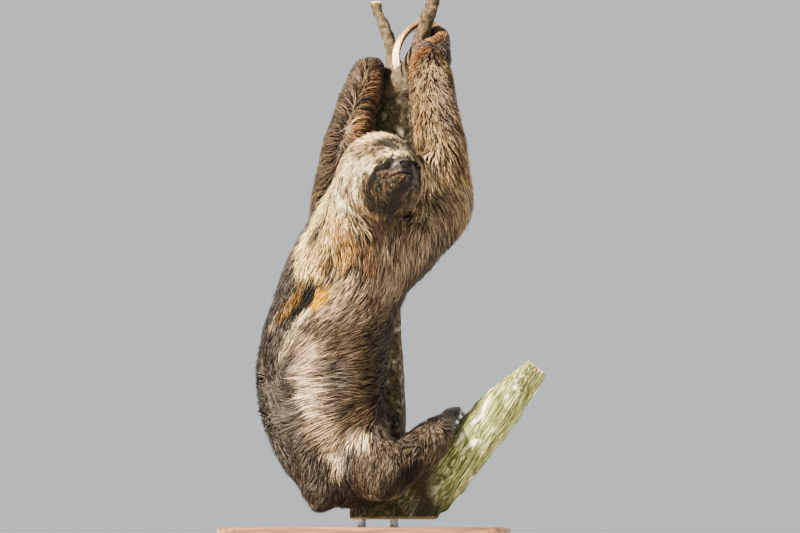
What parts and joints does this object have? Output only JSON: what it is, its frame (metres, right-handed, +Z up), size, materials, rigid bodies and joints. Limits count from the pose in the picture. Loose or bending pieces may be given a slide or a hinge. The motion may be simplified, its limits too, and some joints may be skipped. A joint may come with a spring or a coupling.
{
  "type": "three-toed sloth clinging to a cut trunk",
  "caption": "Life-size still model of a three-toed sloth hugging a forked length of trunk, looking back over its shoulder, on a flat stand.",
  "frame": {"origin": "centre of the stand's underside", "axes": "+Z up along the trunk; the animal's back faces between -X and -Y, and its face looks towards -Y and a little towards +X"},
  "size_m": [0.4354, 0.3221, 0.752],
  "materials": {
    "coat": "coarse shaggy fur, grey-brown to cream with dark and orange marks, matt",
    "claw": "horn, cream with a brown root, worn satin",
    "eye": "wet dark brown glass eye",
    "nose": "bare dark skin, slightly moist",
    "bark": "rough grey-brown bark with moss and pale lichen, sawn ends",
    "stand_wood": "dark stained hardwood board, satin oil",
    "stand_steel": "drawn steel rod"
  },
  "bodies": {
    "root": {"head": "coat", "neck": "coat", "torso": "coat", "tail": "coat", "upper_arm_right": "coat", "forearm_right": "coat", "hand_right": "coat", "thigh_right": "coat", "shank_right": "coat", "foot_right": "coat", "upper_arm_left": "coat", "forearm_left": "coat", "hand_left": "coat", "thigh_left": "coat", "shank_left": "coat", "foot_left": "coat", "claw_hand_right_1": "claw", "claw_hand_right_2": "claw", "claw_hand_right_3": "claw", "claw_hand_left_1": "claw", "claw_hand_left_2": "claw", "claw_hand_left_3": "claw", "claw_foot_right_1": "claw", "claw_foot_right_2": "claw", "claw_foot_right_3": "claw", "claw_foot_left_1": "claw", "claw_foot_left_2": "claw", "claw_foot_left_3": "claw", "eye_right": "eye", "eye_left": "eye", "nose": "nose", "perch_trunk": "bark", "perch_limb": "bark", "perch_fork_right": "bark", "perch_fork_left": "bark", "stand_base": "stand_wood", "stand_rod_1": "stand_steel", "stand_rod_2": "stand_steel"}
  },
  "joints": []
}
